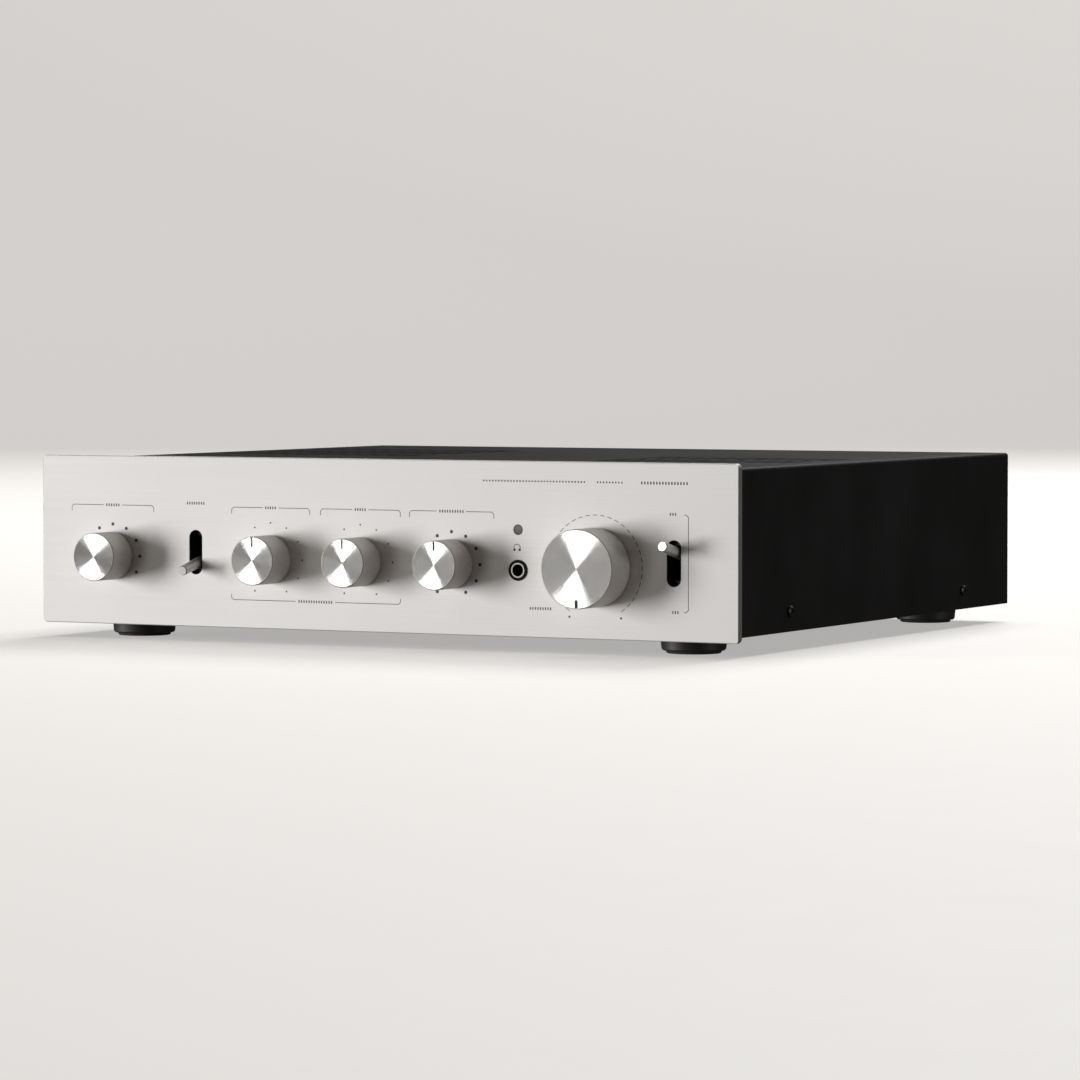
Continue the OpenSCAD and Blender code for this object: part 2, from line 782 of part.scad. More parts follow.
// Ribbed screw cap with a plug hole in its end
module post_cap(x, tint) {
    start = 6.5;
    color(tint) on_rear(x, lip_y, post_z) translate([0, 0, start]) difference() {
        union() {
            for (turn = [0, 15]) rotate([0, 0, turn])
                cylinder(d = post_cap_d, h = post_out + 1 - start - 1.5, $fn = 12);
            cylinder(d = post_cap_d - 2, h = post_out + 1 - start);
        }
        translate([0, 0, -eps]) cylinder(d = post_stud_d + 2 * run, h = post_out - 3.5 - start + eps);
        cylinder(d = 4.4, h = post_out);
    }
}

module right_red_cap() post_cap(post_xs[0], "red");
module right_black_cap() post_cap(post_xs[1], [0.1, 0.1, 0.1]);
module left_red_cap() post_cap(post_xs[2], "red");
module left_black_cap() post_cap(post_xs[3], [0.1, 0.1, 0.1]);

// Mains inlet with a flange, a socket for the lead and a slot for the fuse drawer
module mains_inlet() {
    color([0.1, 0.1, 0.1]) on_rear(inlet_x, lip_y, inlet_z) difference() {
        union() {
            linear_extrude(3) rounded_rect(50, 34, 4);
            translate([-15, -16, -22]) cube([30, 32, 22 + eps]);
        }
        translate([0, -5, -14]) linear_extrude(20) rounded_rect(24.4, 16.4, 2);
        translate([-11.1, 7.4, -19]) cube([22.2, 6.2, 30]);
        for (side = [-1, 1]) translate([20 * side, 0, -eps]) cylinder(d = m3_hole, h = 4);
    }
}

// Earth pin in the middle and the two line pins beside it
module inlet_pins() {
    color("silver") on_rear(inlet_x, lip_y, inlet_z)
        for (p = [[-7, -3.5], [0, -7], [7, -3.5]])
            translate([p[0] - 1, p[1] - 2, -13.95]) cube([2, 4, 14]);
}

module fuse_drawer() {
    color([0.13, 0.13, 0.13]) on_rear(inlet_x, lip_y, inlet_z) {
        translate([-11, 7.5, -18.5]) cube([22, 6, 18.5 + 3.2]);
        translate([-8, 8.6, 3]) cube([16, 1, 1.2]);
    }
}

module earth_post() {
    color("gold") on_rear(earth_x, lip_y, earth_z) {
        translate([0, 0, -6]) cylinder(d = m4, h = 18);
        translate([0, 0, 0]) ring(9, m4 - 0.2, 1.5);
    }
}

module earth_nut() {
    color("gold") on_rear(earth_x, lip_y, earth_z) translate([0, 0, 2]) difference() {
        for (turn = [0, 15]) rotate([0, 0, turn]) cylinder(d = 9.5, h = 6, $fn = 12);
        translate([0, 0, -eps]) cylinder(d = m4 + 2 * run, h = 7);
    }
}

// ---- Wires ----

// Round wire through a list of points
module wire(points, d) {
    for (i = [0 : len(points) - 2]) {
        v = points[i + 1] - points[i];
        l = norm(v);
        translate(points[i]) rotate([0, acos(v[2] / l), atan2(v[1], v[0])])
            cylinder(d = d, h = l);
        translate(points[i + 1]) sphere(d = d);
    }
}

module internal_wires() {
    inlet_back = lip_y - 22;
    color("firebrick") {
        for (side = [-1, 1]) {
            x = inlet_x + 6 * side;
            run_x = 202 + 2 * side;
            end_x = power_x + 4 * side;
            z = 46 + 4 * side;
            wire([[x, inlet_back - 1.3, z], [x, inlet_back - 8, z], [run_x, inlet_back - 8, z],
                  [run_x, -140, z], [end_x, -140, z], [end_x, board_y + 1.3, z]], 2.4);
        }
        for (i = [0 : 3]) {
            x = post_xs[i];
            y = board_y1 - 16 - 8 * i;
            end_x = 20 + 0.3 * x;
            wire([[x, lip_y - 11.5, post_z], [x, y, post_z],
                  [end_x, y, post_z], [end_x, y, board_z + 3]], 2.4);
        }
    }
}

fascia();
sub_panel();
chassis_tray();
rear_panel();
top_cover();
cover_screws();
frame_screws();
foot_cups();
foot_pads();
foot_screws();
source_knob();
source_shaft();
source_switch();
bass_knob();
bass_shaft();
bass_pot();
treble_knob();
treble_shaft();
treble_pot();
mode_knob();
mode_shaft();
mode_switch();
volume_knob();
volume_shaft();
volume_pot();
volume_motor();
control_nuts();
tone_lever();
tone_switch();
power_lever();
power_switch();
ir_window();
headphone_jack();
jack_nut();
control_board();
transformer();
transformer_pads();
transformer_dish();
transformer_bolt();
main_board();
standoffs();
heat_sink();
output_transistors();
filter_capacitors();
relays();
input_board();
input_sockets();
socket_collars();
speaker_posts();
post_collars();
right_red_cap();
right_black_cap();
left_red_cap();
left_black_cap();
mains_inlet();
inlet_pins();
fuse_drawer();
earth_post();
earth_nut();
internal_wires();
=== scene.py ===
"""Looks for the integrated amplifier: materials, printed marks, trim, light and camera."""

import json
import math

import bmesh
import bpy
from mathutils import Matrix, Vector


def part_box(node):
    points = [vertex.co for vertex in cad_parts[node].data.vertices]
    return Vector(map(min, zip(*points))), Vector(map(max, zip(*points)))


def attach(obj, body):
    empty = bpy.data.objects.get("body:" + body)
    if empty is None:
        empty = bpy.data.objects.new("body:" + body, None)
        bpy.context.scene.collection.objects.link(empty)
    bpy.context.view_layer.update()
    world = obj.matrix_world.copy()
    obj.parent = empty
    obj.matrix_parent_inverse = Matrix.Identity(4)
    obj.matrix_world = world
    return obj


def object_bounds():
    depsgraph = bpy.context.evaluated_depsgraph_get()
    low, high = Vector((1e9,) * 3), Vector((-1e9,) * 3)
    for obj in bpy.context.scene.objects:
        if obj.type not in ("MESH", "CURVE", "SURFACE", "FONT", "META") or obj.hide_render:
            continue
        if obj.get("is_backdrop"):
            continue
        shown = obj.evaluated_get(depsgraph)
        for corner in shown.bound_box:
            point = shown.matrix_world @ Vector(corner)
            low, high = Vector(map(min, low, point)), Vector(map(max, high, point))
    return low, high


MM = 0.001

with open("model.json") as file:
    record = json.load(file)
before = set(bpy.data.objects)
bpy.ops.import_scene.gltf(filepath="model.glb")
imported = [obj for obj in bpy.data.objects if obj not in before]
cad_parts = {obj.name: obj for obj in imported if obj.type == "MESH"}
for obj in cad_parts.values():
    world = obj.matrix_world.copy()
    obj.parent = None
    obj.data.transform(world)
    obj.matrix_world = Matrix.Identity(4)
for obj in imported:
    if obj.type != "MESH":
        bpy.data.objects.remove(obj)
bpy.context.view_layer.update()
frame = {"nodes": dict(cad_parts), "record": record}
NODES = frame["nodes"]

PLATE_LOW, PLATE_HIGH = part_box("fascia")
FACE_Y = PLATE_LOW.y


def centre(node):
    low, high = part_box(node)
    return (low + high) / 2


# ---------------------------------------------------------------- materials


class Shader:
    """A Principled material with short calls for the nodes that shape it."""

    def __init__(self, name, color, roughness, metallic=0.0):
        """Starts from a plain finish, which the nodes then vary."""
        self.mat = bpy.data.materials.new(name)
        self.mat.use_nodes = True
        self.tree = self.mat.node_tree
        self.bsdf = self.tree.nodes["Principled BSDF"]
        self.set("Base Color", (*color, 1.0))
        self.set("Roughness", roughness)
        self.set("Metallic", metallic)
        self.where = self.add("ShaderNodeTexCoord").outputs["Object"]

    def add(self, kind):
        return self.tree.nodes.new(kind)

    def set(self, socket, value):
        """Sets an input of the Principled node to a number, a colour or another node's output."""
        self.wire(self.bsdf.inputs[socket], value)

    def wire(self, socket, value):
        """Links a node's output to a socket, or sets the socket to a plain value."""
        if isinstance(value, bpy.types.NodeSocket):
            self.tree.links.new(value, socket)
        else:
            socket.default_value = value

    def stretch(self, scale, middle=(0, 0, 0), turn=(0, 0, 0)):
        """Object coordinates, from a middle point and scaled along each axis."""
        moved = self.add("ShaderNodeVectorMath")
        moved.operation = "SUBTRACT"
        self.wire(moved.inputs[0], self.where)
        moved.inputs[1].default_value = middle
        node = self.add("ShaderNodeMapping")
        self.wire(node.inputs["Vector"], moved.outputs[0])
        node.inputs["Scale"].default_value = scale
        node.inputs["Rotation"].default_value = turn
        return node.outputs[0]

    def noise(self, vector, scale=1.0, detail=2.0, rough=0.5):
        """Soft random grain from 0 to 1."""
        node = self.add("ShaderNodeTexNoise")
        self.wire(node.inputs["Vector"], vector)
        node.inputs["Scale"].default_value = scale
        node.inputs["Detail"].default_value = detail
        node.inputs["Roughness"].default_value = rough
        return node.outputs["Fac"]

    def cells(self, vector, scale, feature="F1"):
        """Distance across random cells, from their middles or from their edges."""
        node = self.add("ShaderNodeTexVoronoi")
        node.feature = feature
        self.wire(node.inputs["Vector"], vector)
        node.inputs["Scale"].default_value = scale
        return node.outputs["Distance"]

    def math(self, kind, *values):
        node = self.add("ShaderNodeMath")
        node.operation = kind
        for socket, value in zip(node.inputs, values):
            self.wire(socket, value)
        return node.outputs[0]

    def split(self, vector):
        node = self.add("ShaderNodeSeparateXYZ")
        self.wire(node.inputs[0], vector)
        return node.outputs

    def join(self, x, y, z):
        node = self.add("ShaderNodeCombineXYZ")
        for socket, value in zip(node.inputs, (x, y, z)):
            self.wire(socket, value)
        return node.outputs[0]

    def radius(self, x, z):
        """Distance from the y axis."""
        squares = self.math("ADD", self.math("MULTIPLY", x, x), self.math("MULTIPLY", z, z))
        return self.math("SQRT", squares)

    def span(self, value, low, high, start=0.0, end=1.0):
        """Maps value from start..end to low..high, and holds it there."""
        node = self.add("ShaderNodeMapRange")
        self.wire(node.inputs["Value"], value)
        for name, number in (("From Min", start), ("From Max", end), ("To Min", low), ("To Max", high)):
            self.wire(node.inputs[name], number)
        return node.outputs[0]

    def blend(self, share, first, second):
        """Colour that runs from first to second."""
        node = self.add("ShaderNodeMix")
        node.data_type = "RGBA"
        self.wire(node.inputs["Factor"], share)
        for name, value in (("A", first), ("B", second)):
            socket = [s for s in node.inputs if s.name == name and s.type == "RGBA"][0]
            self.wire(socket, (*value, 1.0) if isinstance(value, tuple) else value)
        return [s for s in node.outputs if s.type == "RGBA"][0]

    def facing(self):
        """The surface's own normal."""
        return self.add("ShaderNodeNewGeometry").outputs["Normal"]

    def bump(self, height, distance, strength):
        node = self.add("ShaderNodeBump")
        self.wire(node.inputs["Height"], height)
        node.inputs["Distance"].default_value = distance
        node.inputs["Strength"].default_value = strength
        self.set("Normal", node.outputs[0])

    def vector(self, kind, first, second=None):
        """Vector arithmetic; SCALE takes a number as its second value."""
        node = self.add("ShaderNodeVectorMath")
        node.operation = kind
        self.wire(node.inputs[0], first)
        if kind == "SCALE":
            self.wire(node.inputs["Scale"], second)
        elif second is not None:
            self.wire(node.inputs[1], second)
        return node.outputs[0]

    def lean(self, toward, amount):
        """Tips the surface's normal towards a direction given in the piece's own axes."""
        turn = self.add("ShaderNodeVectorTransform")
        turn.convert_from, turn.convert_to = "OBJECT", "WORLD"
        self.wire(turn.inputs[0], toward)
        push = self.vector("SCALE", self.vector("NORMALIZE", turn.outputs[0]), amount)
        self.set("Normal", self.vector("NORMALIZE", self.vector("ADD", self.facing(), push)))

    def speckle(self):
        """An even random number at every point, far too fine to be seen."""
        node = self.add("ShaderNodeTexWhiteNoise")
        self.wire(node.inputs["Vector"], self.where)
        return node.outputs["Value"]

    def tangent(self, axis):
        """Grain that runs round the given axis of the piece's own box."""
        node = self.add("ShaderNodeTangent")
        node.direction_type = "RADIAL"
        node.axis = axis
        self.set("Tangent", node.outputs[0])


def brushed_plate():
    """Bright anodised aluminium, brushed along its length, with painted shade on its end faces."""
    s = Shader("brushed_plate", (0.88, 0.865, 0.85), 0.5, 0.25)
    fine = s.noise(s.stretch((22, 22, 2600)), detail=3)
    wide = s.noise(s.stretch((7, 7, 420)), detail=2)
    cloud = s.noise(s.stretch((5, 5, 14)), detail=1)
    grain = s.math("ADD", s.math("MULTIPLY", fine, 0.5), s.math("MULTIPLY", wide, 0.5))
    brushed = s.blend(s.span(grain, 0, 1, 0.3, 0.7), (0.83, 0.815, 0.80), (0.94, 0.925, 0.91))
    # Painted shade: the end faces, where the normal runs along x, are painted dark grey to stand for the
    # shade they fall in.
    across = s.split(s.facing())[0]
    end = s.math("GREATER_THAN", s.math("ABSOLUTE", across), 0.5)
    s.set("Base Color", s.blend(end, brushed, (0.30, 0.29, 0.28)))
    s.set("Roughness", s.math("ADD", s.span(grain, 0.50, 0.60, 0.3, 0.7), s.span(cloud, -0.02, 0.02)))
    s.set("Anisotropic", 0.6)
    s.set("Tangent", s.join(1.0, 0.0, 0.0))
    s.bump(grain, 0.01 * MM, 0.35)
    return s.mat


def turned_alloy(name, node):
    """Aluminium knob: rings and a fine sunray grain on the face, a satin skirt painted paler and less
    metallic than the face as painted light on its side.
    """
    low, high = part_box(node)
    radius = (high.x - low.x) / 2
    s = Shader(name, (0.75, 0.735, 0.715), 0.4, 0.72)
    x, y, z = s.split(s.stretch((1, 1, 1), centre(node)))
    out = s.radius(x, z)
    face_rings = s.math("MULTIPLY", out, 5200.0)
    skirt_rings = s.math("MULTIPLY", y, 3800.0)
    rings = s.noise(s.join(face_rings, 0.0, skirt_rings), detail=2)
    edge = s.span(out, 0.0, 1.0, radius - 0.6 * MM, radius - 0.45 * MM)
    grain = s.span(rings, 0, 1, 0.35, 0.65)
    face_tint = s.blend(grain, (0.62, 0.605, 0.585), (0.70, 0.685, 0.665))
    # Painted light: the skirt is a paler, more diffuse copy of the face's alloy, standing in for light on
    # the knob's side.
    skirt_painted_light = s.blend(grain, (0.86, 0.83, 0.79), (0.92, 0.89, 0.85))
    s.set("Base Color", s.blend(edge, face_tint, skirt_painted_light))
    s.set("Metallic", s.span(edge, 0.76, 0.35))
    face = s.span(rings, 0.22, 0.27)
    skirt = s.span(rings, 0.46, 0.54)
    s.set("Roughness", s.math("ADD", face, s.math("MULTIPLY", edge, s.math("SUBTRACT", skirt, face))))
    s.set("Anisotropic", 1.0)
    s.tangent("Y")
    widest_tilt = 0.8
    tilt = s.math("MULTIPLY", s.math("SUBTRACT", s.speckle(), 0.5), widest_tilt)
    around = s.join(s.math("MULTIPLY", z, -1.0), 0.0, x)
    s.lean(around, s.math("MULTIPLY", tilt, s.math("SUBTRACT", 1.0, edge)))
    return s.mat


def lever_alloy(name, end_highlight_tint, dish):
    """Turned rod, satin on its side; end_highlight_tint is its end face's colour, which carries a painted
    highlight where it is paler than the side; dish is how far its end leans to the left, towards the light.
    """
    s = Shader(name, end_highlight_tint, 0.45, 1.0)
    grain = s.noise(s.stretch((3000, 300, 300)), detail=2)
    end = s.math("LESS_THAN", s.split(s.facing())[1], -0.6)
    side = s.blend(s.span(grain, 0, 1, 0.3, 0.7), (0.74, 0.73, 0.71), (0.84, 0.83, 0.81))
    s.set("Base Color", s.blend(end, side, end_highlight_tint))
    s.set("Metallic", s.span(end, 0.6, 1.0))
    s.set("Roughness", s.span(grain, 0.42, 0.50))
    s.lean((-1.0, 0.0, 0.0), s.math("MULTIPLY", end, dish))
    return s.mat


def powder_coat(name, color, roughness, shine=0.5):
    """Fine textured paint with faint handling marks."""
    s = Shader(name, color, roughness)
    s.set("Specular IOR Level", shine)
    orange_peel = s.noise(s.where, scale=1400, detail=3, rough=0.6)
    speckle = s.cells(s.where, 2600)
    marks = s.noise(s.stretch((9, 14, 9)), detail=3)
    s.set("Roughness", s.math("ADD", s.span(marks, -0.06, 0.06, 0.3, 0.7),
                              s.span(orange_peel, roughness - 0.05, roughness + 0.07)))
    lighter = tuple(c * 1.8 + 0.003 for c in color)
    s.set("Base Color", s.blend(s.span(marks, 0, 1, 0.35, 0.8), color, lighter))
    s.bump(s.math("ADD", orange_peel, s.math("MULTIPLY", speckle, 0.5)), 0.05 * MM, 0.5)
    return s.mat


def moulded(name, color, roughness):
    """Moulded plastic with a spark-eroded texture."""
    s = Shader(name, color, roughness)
    spark = s.noise(s.where, scale=2600, detail=3, rough=0.6)
    soil = s.noise(s.where, scale=60, detail=2)
    s.set("Roughness", s.math("ADD", s.span(spark, roughness - 0.05, roughness + 0.05),
                              s.span(soil, -0.04, 0.04)))
    paler = tuple(min(1.0, c * 1.25 + 0.004) for c in color)
    s.set("Base Color", s.blend(s.span(soil, 0, 1, 0.3, 0.7), color, paler))
    s.bump(spark, 0.03 * MM, 0.4)
    return s.mat


def rubber():
    """Dull black rubber with dust in its pores."""
    s = Shader("pad_rubber", (0.025, 0.025, 0.026), 0.85)
    dust = s.noise(s.where, scale=350, detail=4, rough=0.7)
    dusty = s.span(dust, 0, 1, 0.45, 0.8)
    s.set("Base Color", s.blend(dusty, (0.02, 0.02, 0.021), (0.07, 0.068, 0.065)))
    s.bump(dust, 0.05 * MM, 0.5)
    return s.mat


def plated(name, color, roughness):
    """Plated metal with a soft mottle and fine scratches."""
    s = Shader(name, color, roughness, 1.0)
    mottle = s.noise(s.where, scale=300, detail=3)
    scratch = s.noise(s.stretch((4000, 400, 900), turn=(0.3, 0.2, 0.9)), detail=2)
    s.set("Roughness", s.math("ADD", s.span(mottle, roughness - 0.06, roughness + 0.06),
                              s.span(scratch, -0.05, 0.05)))
    darker = tuple(c * 0.8 for c in color)
    s.set("Base Color", s.blend(s.span(mottle, 0, 1, 0.35, 0.7), darker, color))
    s.bump(scratch, 0.004 * MM, 0.3)
    return s.mat


def smoked_window():
    """Grey translucent plastic with a darker rim, painted lighter towards its top as a painted reflection.
    """
    radius = 2.8 * MM
    s = Shader("window_tint", (0.15, 0.15, 0.16), 0.3)
    x, y, z = s.split(s.stretch((1, 1, 1), centre("ir_window")))
    out = s.radius(x, z)
    # Painted reflection: the colour runs from dark at the bottom to lighter at the top.
    upright = s.blend(s.span(z, 0, 1, -radius, radius), (0.07, 0.07, 0.075), (0.24, 0.24, 0.25))
    rim = s.span(out, 0, 1, radius - 0.9 * MM, radius - 0.3 * MM)
    s.set("Base Color", s.blend(rim, upright, (0.05, 0.05, 0.055)))
    haze = s.noise(s.where, scale=500, detail=2)
    s.set("Roughness", s.span(haze, 0.25, 0.35))
    return s.mat


def two_tone_collars():
    """White collars on the upper row of sockets, red ones on the lower row."""
    s = Shader("collar_plastic", (0.8, 0.8, 0.78), 0.35)
    z = s.split(s.where)[2]
    row = s.math("GREATER_THAN", z, centre("socket_collars").z)
    mottle = s.span(s.noise(s.where, scale=900, detail=2), 0.9, 1.0)
    white = s.blend(mottle, (0.6, 0.6, 0.58), (0.78, 0.77, 0.74))
    red = s.blend(mottle, (0.25, 0.01, 0.01), (0.5, 0.02, 0.02))
    s.set("Base Color", s.blend(row, red, white))
    s.set("Roughness", s.span(s.noise(s.where, scale=1500), 0.3, 0.42))
    return s.mat


def circuit_board():
    """Green resist over copper tracks."""
    s = Shader("circuit_board", (0.02, 0.16, 0.07), 0.35)
    x, y, z = s.split(s.where)
    flat = s.join(x, s.math("ADD", y, z), 0.0)
    tracks = s.cells(flat, 160, feature="DISTANCE_TO_EDGE")
    copper = s.math("LESS_THAN", tracks, 0.06)
    s.set("Base Color", s.blend(copper, (0.012, 0.10, 0.045), (0.03, 0.22, 0.09)))
    s.bump(copper, 0.05 * MM, 0.5)
    return s.mat


def winding_tape():
    """Film tape wound round the ring in overlapping turns."""
    s = Shader("winding_tape", (0.55, 0.38, 0.08), 0.3)
    x, y, z = s.split(s.stretch((1, 1, 1), centre("transformer")))
    turn = s.math("ARCTAN2", y, x)
    lap = s.math("FRACT", s.math("MULTIPLY", turn, 60 / (2 * math.pi)))
    s.set("Base Color", s.blend(lap, (0.40, 0.26, 0.05), (0.62, 0.44, 0.10)))
    s.set("Roughness", s.span(s.noise(s.where, scale=400), 0.22, 0.38))
    s.bump(lap, 0.12 * MM, 0.6)
    return s.mat


def ink(name, color):
    """Screen printed ink, a little broken up at its own scale."""
    s = Shader(name, color, 0.55)
    dots = s.noise(s.where, scale=5000, detail=2)
    paler = tuple(min(1.0, c + 0.05) for c in color)
    s.set("Base Color", s.blend(s.span(dots, 0, 1, 0.45, 0.75), color, paler))
    s.set("Roughness", s.span(dots, 0.5, 0.65))
    return s.mat


def paint_nodes():
    """Gives every CAD node its own material, or the one of its record slot."""
    shared = {
        "brushed_plate": brushed_plate(),
        "black_case": powder_coat("black_case", (0.018, 0.018, 0.0185), 0.5, 0.05),
        "zinc_sheet": powder_coat("zinc_sheet", (0.03, 0.03, 0.03), 0.45),
        "black_screws": plated("black_screws", (0.09, 0.09, 0.10), 0.4),
        "plain_steel": plated("plain_steel", (0.62, 0.62, 0.60), 0.32),
        "foot_plastic": moulded("foot_plastic", (0.02, 0.02, 0.021), 0.5),
        "pad_rubber": rubber(),
        "black_plastic": moulded("black_plastic", (0.02, 0.02, 0.022), 0.45),
        "red_plastic": moulded("red_plastic", (0.42, 0.015, 0.015), 0.3),
        "collar_plastic": two_tone_collars(),
        "gilt_metal": plated("gilt_metal", (0.86, 0.63, 0.28), 0.22),
        "window_tint": smoked_window(),
        "control_case": moulded("control_case", (0.12, 0.17, 0.19), 0.45),
        "circuit_board": circuit_board(),
        "winding_tape": winding_tape(),
        "sink_metal": plated("sink_metal", (0.07, 0.07, 0.075), 0.42),
        "can_sleeve": moulded("can_sleeve", (0.02, 0.03, 0.10), 0.28),
        "wire_sleeve": moulded("wire_sleeve", (0.30, 0.03, 0.02), 0.4),
    }
    own = {
        "headphone_jack": plated("bushing_metal", (0.45, 0.41, 0.35), 0.35),
        "jack_nut": powder_coat("bezel_paint", (0.004, 0.004, 0.004), 0.6, 0.15),
        # The power lever's end is painted near white as a painted highlight; the tone lever's end keeps the
        # side's plain alloy colour.
        "tone_lever": lever_alloy("tone_lever_alloy", (0.74, 0.73, 0.71), 0.0),
        "power_lever": lever_alloy("power_lever_alloy", (0.98, 0.975, 0.97), 0.3),
    }
    for part in frame["record"]["subparts"]:
        node, slot = part["node"], part["material_slot"]
        if node.endswith("_knob"):
            material = turned_alloy(node + "_alloy", node)
        else:
            material = own.get(node) or shared[slot]
        mesh = NODES[node].data
        mesh.materials.clear()
        mesh.materials.append(material)


# ---------------------------------------------------------------- mesh helpers


def mesh_piece(name, bm, material, body):
    """Turns a bmesh into a piece that rides on a body."""
    bmesh.ops.recalc_face_normals(bm, faces=bm.faces)
    mesh = bpy.data.meshes.new(name)
    bm.to_mesh(mesh)
    bm.free()
    mesh.materials.append(material)
    piece = bpy.data.objects.new(name, mesh)
    bpy.context.scene.collection.objects.link(piece)
    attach(piece, body)


class Plane:
    """Flat marks on an upright face: x to the right and z up as the marks are read."""

    def __init__(self, y, out, thick):
        self.y, self.out, self.thick = y, out, thick
        self.bm = bmesh.new()

    def polygon(self, points):
        """A raised area with the given outline."""
        back = [self.bm.verts.new((x, self.y, z)) for x, z in points]
        front = [self.bm.verts.new((x, self.y + self.out * self.thick, z)) for x, z in points]
        self.bm.faces.new(back)
        self.bm.faces.new(front[::-1])
        for i in range(len(points)):
            j = (i + 1) % len(points)
            self.bm.faces.new((back[i], front[i], front[j], back[j]))

    def disc(self, x, z, r):
        """A round dot."""
        self.polygon([(x + r * math.cos(a), z + r * math.sin(a)) for a in turns(24)])

    def line(self, points, width):
        """A stroke of even width along an open path."""
        left, right = [], []
        spots = [Vector(point) for point in points]
        steps = [(after - here).normalized() for here, after in zip(spots, spots[1:])]
        for here, first, second in zip(spots, steps[:1] + steps, steps + steps[-1:]):
            along = (first + second).normalized()
            reach = width / 2 / max(0.5, along.dot(first))
            side = Vector((-along.y, along.x)) * reach
            left.append(tuple(here + side))
            right.append(tuple(here - side))
        self.polygon(left + right[::-1])

    def arc(self, x, z, r, start, end, width, step=4):
        """A stroke round a circle, with angles in degrees from +x towards +z."""
        count = max(2, int(abs(end - start) / step) + 1)
        angles = [math.radians(start + (end - start) * i / count) for i in range(count + 1)]
        self.line([(x + r * math.cos(a), z + r * math.sin(a)) for a in angles], width)


def turns(count):
    """Even angles round a circle."""
    return [2 * math.pi * i / count for i in range(count)]


# ---------------------------------------------------------------- printed marks

INK_THICK = 0.02 * MM
LINE_W = 0.34 * MM
# Size of the slanted corner of a bracket
BEND = 1.2 * MM
# Height of a row of dashes, and the distance from one dash to the next
SIGN_TALL = 1.5 * MM
SIGN_PITCH = 1.6 * MM
# Heights of the rows of signs above the plate's lower edge, in millimetres
TOP_ROW = 83
HIGH_ROW = 66.2
LOW_ROW = 15.5
# Each small knob: half the width of its bracket, the bracket's gap, the radius of its ring of
# dots and the dots' own radius, all in millimetres, and the dots' angles
DIALS = {
    "source": (26.8, 12, 17.6, 0.95, range(-120, 121, 30)),
    "bass": (24.7, 10, 20, 0.5, range(-150, 151, 30)),
    "treble": (24.8, 10, 20, 0.5, range(-150, 151, 30)),
    "mode": (25.7, 18, 17.3, 0.95, range(-150, 151, 30)),
}


def at(u, v):
    """A point on the front plate, in millimetres from its lower left corner."""
    return PLATE_LOW.x + u * MM, PLATE_LOW.z + v * MM


def bracket(plane, left, right, z, drop, gap):
    """A line over a control with turned ends and a gap for its sign; drop is negative to turn up."""
    middle = (left + right) / 2
    step = math.copysign(BEND, drop)
    for outer, inner, inward in ((left, middle - gap / 2, BEND), (right, middle + gap / 2, -BEND)):
        plane.line([(outer, z - drop), (outer, z - step), (outer + inward, z), (inner, z)], LINE_W)


def dashes(plane, left, right, z, tall, pitch):
    """A row of short plain dashes that stands where a sign would be."""
    count = max(1, round((right - left) / pitch))
    step = (right - left) / count
    half_inked = 0.22 * step
    for i in range(count):
        x = left + (i + 0.5) * step
        plane.line([(x - half_inked, z), (x + half_inked, z)], tall)


def dots(plane, knob, r, size, angles):
    """Round dots about a knob; angles run clockwise from straight up."""
    for angle in angles:
        a = math.radians(90 - angle)
        plane.disc(knob.x + r * math.cos(a), knob.z + r * math.sin(a), size)


def knob_marks(plane):
    """Brackets, signs and setting dots of the four small knobs."""
    top_z = at(0, HIGH_ROW)[1]
    low_z = at(0, LOW_ROW)[1]
    for name, (half, gap, r, size, angles) in DIALS.items():
        knob = centre(name + "_knob")
        bracket(plane, knob.x - half * MM, knob.x + half * MM, top_z, 3.5 * MM, gap * MM)
        sign = gap / 2 * MM - 1.2 * MM
        dashes(plane, knob.x - sign, knob.x + sign, top_z, SIGN_TALL, 1.5 * MM)
        dots(plane, knob, r * MM, size * MM, angles)
    bass, treble = centre("bass_knob").x, centre("treble_knob").x
    bracket(plane, bass - 24.9 * MM, treble + 24.9 * MM, low_z, -3 * MM, 25 * MM)
    middle = (bass + treble) / 2
    dashes(plane, middle - 11 * MM, middle + 11 * MM, low_z, SIGN_TALL, SIGN_PITCH)


def volume_marks(plane):
    """Broken arc, end dots and sign of the volume knob."""
    knob = centre("volume_knob")
    last_dash, last_dot, before, after = 144, 150, 3, 2.5
    for angle in range(-last_dash, last_dash + 1, 9):
        middle = 90 - angle
        plane.arc(knob.x, knob.z, 27.7 * MM, middle + before, middle - after, LINE_W)
    dots(plane, knob, 30.5 * MM, 0.6 * MM, (-last_dot, last_dot))
    x, z = at(314, LOW_ROW)
    dashes(plane, x - 6.8 * MM, x + 6.8 * MM, z, SIGN_TALL, 1.5 * MM)


def lever_marks(plane):
    """Signs of the two levers and the upright line beside the right one."""
    tone = centre("tone_switch").x
    dashes(plane, tone - 6 * MM, tone + 6 * MM, at(0, 68)[1], SIGN_TALL, 1.5 * MM)
    x, low = at(401, LOW_ROW)
    high = at(0, HIGH_ROW + 0.3)[1]
    end = x - 2.5 * MM
    plane.line([(end, low), (x - BEND, low), (x, low + BEND),
                (x, high - BEND), (x - BEND, high), (end, high)], LINE_W)
    for u, v in ((392, HIGH_ROW + 0.6), (393.5, LOW_ROW)):
        sign_x, sign_z = at(u, v)
        dashes(plane, sign_x - 2.2 * MM, sign_x + 2.2 * MM, sign_z, SIGN_TALL, 1.5 * MM)


def heading_marks(plane):
    """Two thin plain rows of dashes and a bolder one along the plate's top right."""
    for start, end, tall in ((279, 341, 0.9), (347, 363, 0.9), (373, 401, 1.5)):
        left, z = at(start, TOP_ROW)
        right = at(end, TOP_ROW)[0]
        dashes(plane, left, right, z, tall * MM, 1.8 * MM)


